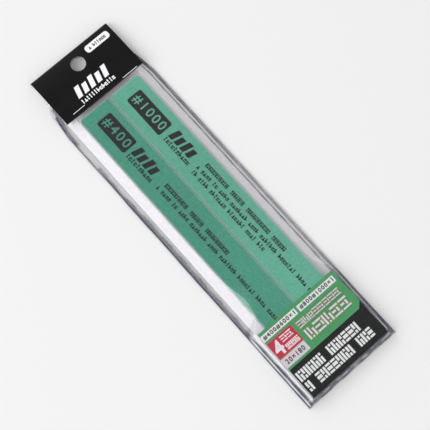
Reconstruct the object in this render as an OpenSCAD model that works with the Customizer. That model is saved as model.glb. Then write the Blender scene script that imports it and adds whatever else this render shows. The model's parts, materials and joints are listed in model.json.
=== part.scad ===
// Hanging pack of two double-sided sanding sticks.
// The pack lies on its back: +X across the sticks, +Y along them towards the header, +Z up.
// The origin is the middle of the pack's box, on the surface that it lies on.
// Each stick is a laminate: stiff core, two foam pads, two abrasive sheets and the adhesive
// films between them. An insert card lies behind the sticks and folds up over their lower ends.

/* [Sanding sticks] */
// Width of one stick
stick_w = 20; // [12:0.5:30]
// Length of one stick
stick_l = 180; // [90:1:240]
// Thickness of one stick
stick_t = 4; // [3:0.1:8]
// Corner radius of a stick
stick_corner_r = 3; // [1:0.5:6]
// Gap between the two sticks
stick_gap = 0.2; // [0.1:0.1:2]
// How much further down the fine stick lies
stick_stagger = 0.25; // [0:0.05:2]

/* [Stick layers] */
// Thickness of the stiff core strip
core_t = 1; // [0.5:0.1:1.5]
// Thickness of each abrasive sheet
abrasive_t = 0.4; // [0.2:0.05:0.6]
// Thickness of each adhesive film
adhesive_t = 0.08; // [0.04:0.01:0.15]

/* [Insert card] */
// Thickness of the card
card_t = 0.4; // [0.25:0.05:0.8]
// Card showing on each side of the sticks
card_margin = 5.4; // [4.8:0.1:12]
// Height of the label that the card's lower end makes
label_h = 42; // [25:1:70]
// From the card's fold to the lower end of the sticks
stick_rise = 7.85; // [4:0.05:20]
// Spare room between the sticks and the card folded over them
pocket_clear = 0.2; // [0.1:0.05:1]
// Length of card tucked up behind the header
card_tuck = 7.3; // [2:0.1:15]

/* [Film bag] */
// Thickness of the film
film_t = 0.1; // [0.05:0.05:0.2]
// Room between the card's edge and the bag's edge
bag_slack = 4; // [2:0.5:10]
// Room between the card's fold and the bag's bottom
bag_end_slack = 2.6; // [1.5:0.1:8]
// Width of the weld bead along each side
weld_w = 0.5; // [0.3:0.1:1.5]
// Height of the weld bead
weld_h = 0.75; // [0.7:0.05:1]
// Radius of the bag's upper corners
bag_corner_r = 9; // [3:0.5:12]
// How far the contents lie off the bag's centre line
contents_shift = 0.5; // [-1.5:0.1:1.5]

/* [Header card] */
// Width of the header
header_w = 52; // [30:0.5:80]
// Height of the header, from its fold to its lower edge
header_l = 31.3; // [28:0.1:60]
// Thickness of the header card
header_t = 0.35; // [0.25:0.05:0.6]
// Outer radius of the header's fold
header_fold_r = 2; // [1:0.1:2.5]
// Gap between the sticks and the header's lower edge
header_gap = 2.25; // [1:0.05:10]
// Length of bag held inside the header
header_grip = 17.6; // [13:0.1:17.8]
// Diameter of the hang hole
hang_hole_d = 8.4; // [4:0.1:12]
// From the header's fold to the centre of the hang hole
hang_hole_drop = 8.8; // [7:0.1:14]

/* [Header tape] */
// Thickness of the tape strips
tape_t = 0.1; // [0.05:0.05:0.2]
// Length of the tape strips across the header
tape_l = 36; // [15:1:38]
// Width of the tape strips
tape_w = 10; // [4:0.5:12]
// From the header's lower edge to the tape
tape_inset = 1.5; // [0.5:0.5:4]

/* [Hidden] */
$fn = 96;

COARSE = -1;
FINE = 1;
// Clearance between pieces that lie on each other but belong to different bodies
lay_clear = 0.05;
// Clearance between the front film and what it covers
film_clear = 0.1;
// Overcut that keeps cuts from ending on a face
overcut = 1;
// Edge of the small plates that a hull is stretched between
plate = 0.01;
// How far the front film runs out past the edge of what it covers
ridge_room = 0.6;
// Length over which the front film comes down from the label to the sticks
tent_run = 9;

// Widths, all from the sticks outwards
card_w = 2 * stick_w + stick_gap + 2 * card_margin;
bag_w = card_w + 2 * bag_slack;
film_w = bag_w - 2 * weld_w;

// Heights, from the surface upwards
back_film_top_z = header_t + tape_t + film_t;
card_z = back_film_top_z + lay_clear;
stick_z = card_z + card_t + pocket_clear / 2;
card_fold_r = (stick_t + pocket_clear) / 2 + card_t;
label_top_z = card_z + 2 * card_fold_r;
film_over_sticks_z = stick_z + stick_t + film_clear + film_t;
film_over_label_z = label_top_z + film_clear + film_t;
front_film_rim_z = back_film_top_z + lay_clear;
foam_t = (stick_t - core_t - 2 * abrasive_t - 4 * adhesive_t) / 2;

// Stations along the pack, which is centred on the origin
pack_l = bag_end_slack + stick_rise + stick_l + header_gap + header_l;
bag_y = -pack_l / 2;
card_y = bag_y + bag_end_slack;
stick_y = card_y + stick_rise;
stick_top_y = stick_y + stick_l;
header_y = stick_top_y + header_gap;
header_top_y = header_y + header_l;
mouth_y = header_y + header_grip;
card_top_y = header_y + card_tuck;
label_top_y = card_y + label_h;
hang_hole_y = header_top_y - hang_hole_drop;
step_end_y = header_y - lay_clear;
step_start_y = step_end_y - 3;

// The header's front panel runs from its fold up over the film, so its inner face is the line
// that touches the fold's inner circle and passes just above the film at the lower edge
panel_edge_z = film_over_sticks_z + lay_clear + tape_t;
fold_y = header_top_y - header_fold_r;
fold_inner_r = header_fold_r - header_t;
panel_run = fold_y - header_y;
panel_rise = panel_edge_z - header_fold_r;
panel_reach = sqrt(panel_run * panel_run + panel_rise * panel_rise);
panel_tilt = atan2(panel_rise, panel_run) - asin(fold_inner_r / panel_reach);
panel_l = sqrt(panel_reach * panel_reach - fold_inner_r * fold_inner_r);
film_mouth_z = film_over_sticks_z - (mouth_y - header_y) * tan(panel_tilt);

// Rectangle with round corners, centred across X and standing on Y = 0
module round_plate(w, l, r) {
    translate([-w / 2 + r, 0]) square([w - 2 * r, l]);
    translate([-w / 2, r]) square([w, l - 2 * r]);
    for (x = [-w / 2 + r, w / 2 - r])
        for (y = [r, l - r])
            translate([x, y]) circle(r);
}

// Turns a profile drawn in (Y, Z) into a sheet of width w centred across X
module sheet_from_profile(w) {
    translate([-w / 2, 0, 0])
        rotate([90, 0, 90])
            linear_extrude(w) children();
}

// One layer of a stick, at height z above the stick's under side
module stick_layer(side, z, t) {
    x = contents_shift + side * (stick_w + stick_gap) / 2;
    y = stick_y - (side == FINE ? stick_stagger : 0);
    translate([x, y, stick_z + z])
        linear_extrude(t) round_plate(stick_w, stick_l, stick_corner_r);
}

// Height of each layer above the stick's under side
back_adhesive_z = abrasive_t;
back_foam_z = back_adhesive_z + adhesive_t;
core_back_adhesive_z = back_foam_z + foam_t;
core_z = core_back_adhesive_z + adhesive_t;
core_front_adhesive_z = core_z + core_t;
front_foam_z = core_front_adhesive_z + adhesive_t;
front_adhesive_z = front_foam_z + foam_t;
front_abrasive_z = front_adhesive_z + adhesive_t;

module stick_core(side) {
    color("whitesmoke") stick_layer(side, core_z, core_t);
}

module stick_foam(side, z) {
    color("dimgray") stick_layer(side, z, foam_t);
}

module stick_adhesive(side, z) {
    color("antiquewhite") stick_layer(side, z, adhesive_t);
}

module stick_abrasive(side, z) {
    color(side == FINE ? "mediumaquamarine" : "seagreen") stick_layer(side, z, abrasive_t);
}

// Card behind the sticks, folded up over their lower ends as the label
module insert_card() {
    fold_c = card_y + card_fold_r;
    inner_r = card_fold_r - card_t;
    color("white")
        translate([contents_shift, 0, card_z])
            sheet_from_profile(card_w) {
                translate([fold_c, 0]) square([card_top_y - fold_c, card_t]);
                translate([fold_c, 2 * card_fold_r - card_t]) square([label_top_y - fold_c, card_t]);
                difference() {
                    translate([fold_c, card_fold_r]) circle(card_fold_r);
                    translate([fold_c, card_fold_r]) circle(inner_r);
                    translate([fold_c, -overcut]) square([card_fold_r + overcut, 2 * card_fold_r + 2 * overcut]);
                }
            }
}

// Plan outline of the bag: square bottom corners, round ones inside the header
module bag_outline(w) {
    bag_l = mouth_y - bag_y;
    translate([-w / 2, bag_y]) square([w, bag_l - bag_corner_r]);
    translate([-w / 2 + bag_corner_r, bag_y]) square([w - 2 * bag_corner_r, bag_l]);
    for (x = [-w / 2 + bag_corner_r, w / 2 - bag_corner_r])
        translate([x, mouth_y - bag_corner_r]) circle(bag_corner_r);
}

// Back film in (Y, Z): flat, and lifted onto the header's back panel at its upper end
module back_film_profile(t) {
    lift = header_t + tape_t;
    polygon([
        [bag_y, 0], [step_start_y, 0], [step_end_y, lift], [mouth_y, lift],
        [mouth_y, lift + t], [step_end_y, lift + t], [step_start_y, t], [bag_y, t]
    ]);
}

module bag_back_film() {
    color("aliceblue")
        intersection() {
            sheet_from_profile(film_w) back_film_profile(film_t);
            translate([0, 0, -overcut])
                linear_extrude(back_film_top_z + 2 * overcut) bag_outline(film_w);
        }
}

// Closed form that the front film wraps: one tent over the sticks and one over the label.
// The form is drawn inset by the film's thickness for the film's inner side, and then it runs
// past the mouth by overrun and down past the rim by skirt
module film_form(inset = 0, skirt = 0, overrun = 0) {
    start_y = bag_y + inset;
    end_y = mouth_y + overrun;
    half = film_w / 2 - inset;
    over_sticks = stick_w + stick_gap / 2 + ridge_room - inset;
    over_label = card_w / 2 + ridge_room - inset;
    ridge_y = card_y + ridge_room + inset;
    label_end_y = label_top_y + ridge_room - inset;
    tent_foot_y = label_end_y + tent_run;
    base_z = front_film_rim_z - skirt;
    fold_z = film_t + lay_clear - skirt;
    hull() {
        translate([-half, start_y, fold_z]) cube([2 * half, plate, skirt + plate]);
        translate([-half, start_y, base_z]) cube([2 * half, end_y - start_y, skirt + plate]);
        translate([contents_shift - over_sticks, ridge_y, film_over_sticks_z - inset - plate])
            cube([2 * over_sticks, header_y - ridge_y, plate]);
        translate([contents_shift - over_sticks, end_y - plate, film_mouth_z - inset - plate])
            cube([2 * over_sticks, plate, plate]);
    }
    hull() {
        translate([-half, start_y, fold_z]) cube([2 * half, plate, skirt + plate]);
        translate([-half, start_y, base_z]) cube([2 * half, tent_foot_y - start_y, skirt + plate]);
        translate([contents_shift - over_label, ridge_y, film_over_label_z - inset - plate])
            cube([2 * over_label, label_end_y - ridge_y, plate]);
        translate([contents_shift - over_sticks, tent_foot_y, film_over_sticks_z - inset - plate])
            cube([2 * over_sticks, plate, plate]);
    }
}

module bag_front_film() {
    color("lightcyan")
        intersection() {
            difference() {
                film_form();
                film_form(inset = film_t, skirt = overcut, overrun = overcut);
            }
            linear_extrude(film_over_label_z + overcut) bag_outline(film_w);
        }
}

// Weld bead along one side, from the bag's bottom to where its upper corner begins
module bag_weld(side) {
    weld_top_y = mouth_y - bag_corner_r;
    color("lightsteelblue")
        translate([side * (bag_w - weld_w) / 2, 0, 0])
            intersection() {
                sheet_from_profile(weld_w) back_film_profile(weld_h);
                translate([-bag_w, bag_y, -overcut])
                    cube([2 * bag_w, weld_top_y - bag_y, back_film_top_z + weld_h + 2 * overcut]);
            }
}

// Header card in (Y, Z): back panel, round fold and the front panel that leans on the film
module header_profile() {
    translate([header_y, 0]) square([panel_run, header_t]);
    difference() {
        translate([fold_y, header_fold_r]) circle(header_fold_r);
        translate([fold_y, header_fold_r]) circle(fold_inner_r);
        translate([fold_y - 2 * header_fold_r, -header_fold_r])
            square([2 * header_fold_r, 2 * header_fold_r + fold_inner_r / 2]);
        translate([fold_y, header_fold_r])
            rotate(-panel_tilt)
                translate([-2 * header_fold_r, 0]) square(2 * header_fold_r);
    }
    translate([fold_y, header_fold_r])
        rotate(-panel_tilt)
            translate([-panel_l, fold_inner_r]) square([panel_l, header_t]);
}

module header_card() {
    color("black")
        difference() {
            translate([contents_shift, 0, 0]) sheet_from_profile(header_w) header_profile();
            translate([contents_shift, hang_hole_y, -overcut])
                cylinder(d = hang_hole_d, h = film_over_label_z + 4 * overcut);
        }
}

// Strip of tape between the header's front panel and the front film
module header_front_tape() {
    color("ivory")
        translate([contents_shift, 0, 0])
            sheet_from_profile(tape_l)
                translate([fold_y, header_fold_r])
                    rotate(-panel_tilt)
                        translate([-panel_l + tape_inset, fold_inner_r - tape_t]) square([tape_w, tape_t]);
}

// Strip of tape between the header's back panel and the back film
module header_back_tape() {
    color("ivory")
        translate([contents_shift - tape_l / 2, header_y + tape_inset, header_t])
            cube([tape_l, tape_w, tape_t]);
}

bag_back_film();
bag_front_film();
bag_weld(-1);  // bag_left_weld
bag_weld(1);  // bag_right_weld
header_card();
header_front_tape();
header_back_tape();
insert_card();
stick_core(COARSE);  // coarse_core
stick_foam(COARSE, front_foam_z);  // coarse_front_foam
stick_foam(COARSE, back_foam_z);  // coarse_back_foam
stick_adhesive(COARSE, core_front_adhesive_z);  // coarse_core_front_adhesive
stick_adhesive(COARSE, core_back_adhesive_z);  // coarse_core_back_adhesive
stick_adhesive(COARSE, front_adhesive_z);  // coarse_front_adhesive
stick_adhesive(COARSE, back_adhesive_z);  // coarse_back_adhesive
stick_abrasive(COARSE, front_abrasive_z);  // coarse_front_abrasive
stick_abrasive(COARSE, 0);  // coarse_back_abrasive
stick_core(FINE);  // fine_core
stick_foam(FINE, front_foam_z);  // fine_front_foam
stick_foam(FINE, back_foam_z);  // fine_back_foam
stick_adhesive(FINE, core_front_adhesive_z);  // fine_core_front_adhesive
stick_adhesive(FINE, core_back_adhesive_z);  // fine_core_back_adhesive
stick_adhesive(FINE, front_adhesive_z);  // fine_front_adhesive
stick_adhesive(FINE, back_adhesive_z);  // fine_back_adhesive
stick_abrasive(FINE, front_abrasive_z);  // fine_front_abrasive
stick_abrasive(FINE, 0);  // fine_back_abrasive
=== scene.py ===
import json
import logging
import math
from abc import ABC, abstractmethod
from collections.abc import Callable, Sequence
from dataclasses import dataclass, field
from enum import Enum

import bmesh
import bpy
import numpy as np
from mathutils import Matrix, Vector, noise


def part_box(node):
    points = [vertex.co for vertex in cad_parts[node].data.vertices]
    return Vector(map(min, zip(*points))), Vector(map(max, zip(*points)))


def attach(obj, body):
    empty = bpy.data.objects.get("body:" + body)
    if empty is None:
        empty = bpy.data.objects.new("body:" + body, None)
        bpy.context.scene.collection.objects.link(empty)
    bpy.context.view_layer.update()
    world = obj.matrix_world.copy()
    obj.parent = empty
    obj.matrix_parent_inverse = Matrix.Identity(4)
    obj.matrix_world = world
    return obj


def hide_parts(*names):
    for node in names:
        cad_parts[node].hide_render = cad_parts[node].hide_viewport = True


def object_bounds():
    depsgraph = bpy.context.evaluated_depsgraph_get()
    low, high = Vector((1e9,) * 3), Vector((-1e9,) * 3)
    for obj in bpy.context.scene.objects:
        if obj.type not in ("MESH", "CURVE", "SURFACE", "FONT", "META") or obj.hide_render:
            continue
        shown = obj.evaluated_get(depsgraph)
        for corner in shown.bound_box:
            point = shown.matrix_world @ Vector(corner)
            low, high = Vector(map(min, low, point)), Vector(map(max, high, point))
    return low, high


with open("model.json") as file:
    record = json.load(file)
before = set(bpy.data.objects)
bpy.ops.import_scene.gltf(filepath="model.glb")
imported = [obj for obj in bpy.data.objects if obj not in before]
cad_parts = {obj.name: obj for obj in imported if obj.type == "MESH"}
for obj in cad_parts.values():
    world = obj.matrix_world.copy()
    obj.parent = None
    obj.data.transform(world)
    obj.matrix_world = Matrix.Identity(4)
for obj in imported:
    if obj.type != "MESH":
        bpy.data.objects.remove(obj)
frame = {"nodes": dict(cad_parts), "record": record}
CAD_LOW, CAD_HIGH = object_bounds()

MM = 0.001
INK_T = 0.02 * MM
INK_LIFT = 0.004 * MM

Colour = tuple[float, float, float]
Outline = list[tuple[float, float]]

MADE: dict[str, bpy.types.Material] = {}

log = logging.getLogger("sanding_stick_pack")


class Reading(Enum):
    """Which way a line of print runs."""

    ACROSS = 0.0
    DOWN = -math.pi / 2


class Side(Enum):
    """Which edge of the bag a band of painted shade, or of painted highlight, follows."""

    LEFT = "left"
    RIGHT = "right"
    BOTTOM = "bottom"


class Tone(Enum):
    """Whether a band on the film is painted shade or a painted highlight."""

    DARK = "crease_dark"
    LIGHT = "crease_light"


class Grit(Enum):
    """The two sticks of the pack."""

    COARSE = "coarse"
    FINE = "fine"


# ---------------------------------------------------------------- shader building


class Wire:
    """A shader value that adds its own Math nodes when it is used in an expression."""

    def __init__(self, shade: "Shade", socket: bpy.types.NodeSocket) -> None:
        """Wraps a socket.

        Args:
            shade: The material being built.
            socket: The output socket that holds the value.
        """
        self.shade = shade
        self.socket = socket

    def _math(self, operation: str, *values: "Wire | float", clamp: bool = False) -> "Wire":
        """Adds one Math node.

        Args:
            operation: The Math node's operation.
            values: What goes into its inputs, in order.
            clamp: Whether the result is kept between 0 and 1.

        Returns:
            The node's result.
        """
        settings = {"operation": operation, "use_clamp": clamp}
        made = self.shade.node("ShaderNodeMath", settings, dict(enumerate(values)))
        return Wire(self.shade, made.outputs[0])

    def __add__(self, other: "Wire | float") -> "Wire":
        """self + other."""
        return self._math("ADD", self, other)

    def __radd__(self, other: "Wire | float") -> "Wire":
        """other + self."""
        return self._math("ADD", other, self)

    def __sub__(self, other: "Wire | float") -> "Wire":
        """self - other."""
        return self._math("SUBTRACT", self, other)

    def __rsub__(self, other: "Wire | float") -> "Wire":
        """other - self."""
        return self._math("SUBTRACT", other, self)

    def __mul__(self, other: "Wire | float") -> "Wire":
        """self * other."""
        return self._math("MULTIPLY", self, other)

    def __rmul__(self, other: "Wire | float") -> "Wire":
        """other * self."""
        return self._math("MULTIPLY", other, self)

    def __truediv__(self, other: "Wire | float") -> "Wire":
        """self / other."""
        return self._math("DIVIDE", self, other)

    def __rtruediv__(self, other: "Wire | float") -> "Wire":
        """other / self."""
        return self._math("DIVIDE", other, self)

    def size(self) -> "Wire":
        """The value without its sign."""
        return self._math("ABSOLUTE", self)

    def least(self, other: "Wire | float") -> "Wire":
        """The smaller of two values."""
        return self._math("MINIMUM", self, other)

    def most(self, other: "Wire | float") -> "Wire":
        """The larger of two values."""
        return self._math("MAXIMUM", self, other)

    def clamped(self) -> "Wire":
        """The value kept between 0 and 1."""
        return self._math("ADD", self, 0.0, clamp=True)

    def above(self, edge: "Wire | float", soft: float) -> "Wire":
        """A mask that is 1 where the value is over an edge.

        Args:
            edge: Where the mask turns.
            soft: Over what distance it turns.

        Returns:
            The mask.
        """
        return ((self - edge) / soft + 0.5).clamped()

    def below(self, edge: "Wire | float", soft: float) -> "Wire":
        """A mask that is 1 where the value is under an edge."""
        return 1 - self.above(edge, soft)


class Shade:
    """Builds the node tree of one material."""

    def __init__(self, name: str) -> None:
        """Starts an empty material of that name."""
        self.material = bpy.data.materials.new(name)
        self.material.use_nodes = True
        self.tree = self.material.node_tree
        self.tree.nodes.clear()
        self.output = self.tree.nodes.new("ShaderNodeOutputMaterial")

    def node(
        self,
        kind: str,
        settings: dict[str, object] | None = None,
        inputs: dict[str | int, object] | None = None,
    ) -> bpy.types.Node:
        """Adds any node.

        Args:
            kind: The node's type.
            settings: What is set on the node itself, first; "stops" sets a ramp's colours.
            inputs: A value, a Wire or a socket for each input, by name or number.

        Returns:
            The node.
        """
        made = self.tree.nodes.new(kind)
        for key, value in (settings or {}).items():
            if key == "stops":
                self._set_stops(made.color_ramp, value)
            else:
                setattr(made, key, value)
        for key, value in (inputs or {}).items():
            target = made.inputs[key]
            if isinstance(value, Wire):
                self.tree.links.new(value.socket, target)
            elif isinstance(value, bpy.types.NodeSocket):
                self.tree.links.new(value, target)
            elif isinstance(value, tuple) and len(value) == 3 and len(target.default_value) == 4:
                target.default_value = (*value, 1.0)
            else:
                target.default_value = value
        return made

    @staticmethod
    def _set_stops(ramp: bpy.types.ColorRamp, stops: Sequence[tuple[float, Colour]]) -> None:
        """Sets a ramp's positions and colours.

        Args:
            ramp: The ramp.
            stops: A position and a colour for each stop.
        """
        while len(ramp.elements) < len(stops):
            ramp.elements.new(0.5)
        for element, (position, colour) in zip(ramp.elements, stops):
            element.position = position
            element.color = (*colour, 1.0)

    def place(self) -> tuple[Wire, Wire, Wire]:
        """The place on the piece, in metres, as its three numbers."""
        coords = self.node("ShaderNodeTexCoord")
        split = self.node("ShaderNodeSeparateXYZ", None, {0: coords.outputs["Object"]})
        return tuple(Wire(self, split.outputs[i]) for i in range(3))

    def noise(self, scale: float, detail: float = 2.0, stretch: Colour = (1.0, 1.0, 1.0)) -> Wire:
        """A soft noise from 0 to 1.

        Args:
            scale: Features in a metre.
            detail: How many finer layers it has.
            stretch: How much the features are squeezed along each axis.

        Returns:
            The noise.
        """
        coords = self.node("ShaderNodeTexCoord")
        mapped = self.node("ShaderNodeMapping", None, {0: coords.outputs["Object"], 3: stretch})
        made = self.node(
            "ShaderNodeTexNoise", None, {"Vector": mapped.outputs[0], "Scale": scale, "Detail": detail}
        )
        return Wire(self, made.outputs["Fac"])

    def cells(self, scale: float, feature: str = "F1") -> Wire:
        """The distance to the nearest of many scattered points.

        Args:
            scale: Points in a metre.
            feature: Which distance the Voronoi node gives.

        Returns:
            The distance, as a share of a cell.
        """
        coords = self.node("ShaderNodeTexCoord")
        made = self.node(
            "ShaderNodeTexVoronoi", {"feature": feature}, {"Vector": coords.outputs["Object"], "Scale": scale}
        )
        return Wire(self, made.outputs["Distance"])

    def attribute(self, name: str) -> Wire:
        """A value that the piece's mesh carries."""
        return Wire(self, self.node("ShaderNodeAttribute", {"attribute_name": name}).outputs["Fac"])

    def blend(self, share: Wire | float, first: object, second: object) -> bpy.types.NodeSocket:
        """Mixes two colours.

        Args:
            share: How much of the second colour there is.
            first: The colour at 0.
            second: The colour at 1.

        Returns:
            The mixed colour's socket.
        """
        made = self.node("ShaderNodeMix", {"data_type": "RGBA"}, {0: share, 6: first, 7: second})
        return made.outputs[2]

    def bump(self, height: Wire, distance: float, strength: float = 1.0) -> bpy.types.NodeSocket:
        """Turns a height into a normal.

        Args:
            height: The height, from 0 to 1.
            distance: How high 1 is, in metres.
            strength: How much of it shows.

        Returns:
            The normal's socket.
        """
        inputs = {"Height": height, "Distance": distance, "Strength": strength}
        return self.node("ShaderNodeBump", None, inputs).outputs[0]

    def surface(self, shader: bpy.types.NodeSocket) -> bpy.types.Material:
        """Puts a shader on the output and gives the finished material."""
        self.tree.links.new(shader, self.output.inputs["Surface"])
        return self.material


@dataclass(frozen=True)
class Finish(ABC):
    """What a piece's surface is like."""

    name: str

    def material(self) -> bpy.types.Material:
        """The finish as a material, made the first time it is asked for."""
        if self.name not in MADE:
            MADE[self.name] = self.build(Shade(self.name))
        return MADE[self.name]

    @abstractmethod
    def build(self, shade: Shade) -> bpy.types.Material:
        """Builds the material's nodes."""


@dataclass(frozen=True)
class AbrasivePaper(Finish):
    """Coated abrasive paper: grit in a coloured binder, with a paler cut edge."""

    colour: Colour
    edge_colour: Colour
    low: Vector
    high: Vector
    grains_per_m: float
    grain_height: float
    rim: float = 0.6 * MM
    roughness: float = 0.62

    def build(self, shade: Shade) -> bpy.types.Material:
        """Builds the grit, its clumps and the worn rim."""
        x, y, _ = shade.place()
        grain = shade.cells(self.grains_per_m)
        clump = shade.noise(900.0, 3.0)
        drift = shade.noise(28.0, 2.0, (1.0, 0.3, 1.0))
        tone = 0.6 * grain + 0.42 * clump + 0.3 * drift + 0.06
        dark = tuple(c * 0.66 for c in self.colour)
        pale = tuple(min(1.0, c * 1.42 + 0.012) for c in self.colour)
        stops = [(0.30, dark), (0.62, self.colour), (1.0, pale)]
        grit = shade.node("ShaderNodeValToRGB", {"stops": stops}, {0: tone}).outputs[0]
        inset = (x - self.low.x).least(self.high.x - x).least((y - self.low.y).least(self.high.y - y))
        worn = inset.below(self.rim * (0.55 + 0.9 * shade.noise(900.0)), 0.3 * MM)
        colour = shade.blend(0.72 * worn, grit, self.edge_colour)
        height = grain + 0.4 * clump
        shader = shade.node(
            "ShaderNodeBsdfPrincipled",
            None,
            {
                "Base Color": colour,
                "Roughness": self.roughness + 0.2 * clump - 0.1,
                "Specular IOR Level": 0.25,
                "Normal": shade.bump(height, self.grain_height, 0.7),
            },
        )
        return shade.surface(shader.outputs[0])


@dataclass(frozen=True)
class ClosedCellFoam(Finish):
    """Firm foam with fine closed cells, cut clean at its edges."""

    colour: Colour

    def build(self, shade: Shade) -> bpy.types.Material:
        """Builds the cells and the mottled skin."""
        cell = shade.cells(5200.0, "DISTANCE_TO_EDGE")
        skin = shade.noise(900.0, 3.0)
        dark = tuple(c * 0.6 for c in self.colour)
        colour = shade.blend((cell * 3.0 + 0.3 * skin).clamped(), dark, self.colour)
        shader = shade.node(
            "ShaderNodeBsdfPrincipled",
            None,
            {
                "Base Color": colour,
                "Roughness": 0.8 + 0.15 * skin,
                "Specular IOR Level": 0.2,
                "Normal": shade.bump(cell, 0.06 * MM, 0.8),
            },
        )
        return shade.surface(shader.outputs[0])


@dataclass(frozen=True)
class RolledStrip(Finish):
    """Rolled plastic, adhesive or tape with fine lines along its length."""

    colour: Colour
    roughness: float
    mottle: float = 0.12
    coat: float = 0.0

    def build(self, shade: Shade) -> bpy.types.Material:
        """Builds the drawn lines and the mottle."""
        lines = shade.noise(2600.0, 2.0, (1.0, 0.04, 1.0))
        mottle = shade.noise(240.0, 3.0)
        dark = tuple(c * (1 - self.mottle) for c in self.colour)
        colour = shade.blend((0.5 * lines + 0.6 * mottle).clamped(), dark, self.colour)
        shader = shade.node(
            "ShaderNodeBsdfPrincipled",
            None,
            {
                "Base Color": colour,
                "Roughness": self.roughness + 0.15 * mottle,
                "Coat Weight": self.coat,
                "Normal": shade.bump(lines, 0.004 * MM, 0.6),
            },
        )
        return shade.surface(shader.outputs[0])


@dataclass(frozen=True)
class PrintedCard(Finish):
    """White coated card whose folded-up label is printed green above and black below."""

    low: Vector
    high: Vector
    label_top: float
    boundary: float
    print_z: float
    white: Colour = (0.93, 0.90, 0.97)
    green: Colour = (0.086, 0.385, 0.152)
    black: Colour = (0.0035, 0.006, 0.006)
    chamfer: float = 3.6 * MM
    bare_edge: float = 0.25 * MM

    def build(self, shade: Shade) -> bpy.types.Material:
        """Builds the board, the two printed fields and the cut edge."""
        x, y, z = shade.place()
        soft = 0.08 * MM
        fibre = shade.noise(1500.0, 4.0)
        cloud = shade.noise(60.0, 2.0)
        grey = tuple(c * 0.93 for c in self.white)
        board = shade.blend((0.4 * fibre + 0.6 * cloud).clamped(), grey, self.white)
        printed = z.above(self.print_z, 0.05 * MM) * y.below(self.label_top, soft)
        inked = printed * x.above(self.low.x + self.bare_edge, soft) * x.below(self.high.x - 0.1 * MM, soft)
        slant = (x - (self.high.x - self.chamfer)) - (y - self.boundary)
        corner = slant.above(0.4 * MM, soft)
        lower = y.below(self.boundary, soft).most(corner * y.below(self.boundary + self.chamfer, soft))
        fade = shade.noise(700.0, 3.0)
        green = shade.blend(fade, self.green, tuple(c * 1.15 for c in self.green))
        black = shade.blend(fade, self.black, (0.007, 0.010, 0.010))
        colour = shade.blend(inked, board, shade.blend(lower, green, black))
        shader = shade.node(
            "ShaderNodeBsdfPrincipled",
            None,
            {
                "Base Color": colour,
                "Roughness": 0.42 + 0.12 * fibre,
                "Specular IOR Level": 0.15,
                "Normal": shade.bump(fibre, 0.008 * MM, 0.5),
            },
        )
        return shade.surface(shader.outputs[0])


@dataclass(frozen=True)
class LaminatedCard(Finish):
    """Black card under a gloss laminate outside, bare board inside and rubbed at its cut edges."""

    low: Vector
    high: Vector
    black: Colour = (0.0045, 0.0042, 0.0048)
    bare: Colour = (0.92, 0.92, 0.93)

    def build(self, shade: Shade) -> bpy.types.Material:
        """Builds the laminate, the bare inside and the rubbed edge."""
        x, y, _ = shade.place()
        inside = shade.attribute("inside")
        fibre = shade.noise(1300.0, 4.0)
        scuff = shade.noise(160.0, 4.0)
        wave = shade.noise(45.0, 1.0)
        inset = (x - self.low.x).least(self.high.x - x).least((y - self.low.y).size())
        rubbed = inset.below(0.35 * MM * scuff, 0.25 * MM) * 0.25
        ink = shade.blend(scuff, self.black, (0.008, 0.007, 0.0085))
        outside = shade.blend(rubbed, ink, (0.12, 0.11, 0.12))
        colour = shade.blend(inside, outside, self.bare)
        shader = shade.node(
            "ShaderNodeBsdfPrincipled",
            None,
            {
                "Base Color": colour,
                "Roughness": 0.26 + 0.1 * scuff + 0.4 * inside,
                "Specular IOR Level": 0.18,
                "Normal": shade.bump(wave + 0.02 * fibre, 0.12 * MM, 0.5),
            },
        )
        return shade.surface(shader.outputs[0])


@dataclass(frozen=True)
class Ink(Finish):
    """A printed solid, a little uneven as ink on paper is."""

    colour: Colour
    spread: float = 0.12
    roughness: float = 0.45

    def build(self, shade: Shade) -> bpy.types.Material:
        """Builds the uneven ink."""
        mottle = shade.noise(1800.0, 3.0)
        pale = tuple(c + (0.5 - c) * self.spread * 0.5 for c in self.colour)
        shader = shade.node(
            "ShaderNodeBsdfPrincipled",
            None,
            {
                "Base Color": shade.blend(mottle, self.colour, pale),
                "Roughness": self.roughness + 0.2 * mottle,
                "Specular IOR Level": 0.25,
                "Normal": shade.bump(mottle, 0.004 * MM, 0.5),
            },
        )
        return shade.surface(shader.outputs[0])


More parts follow.
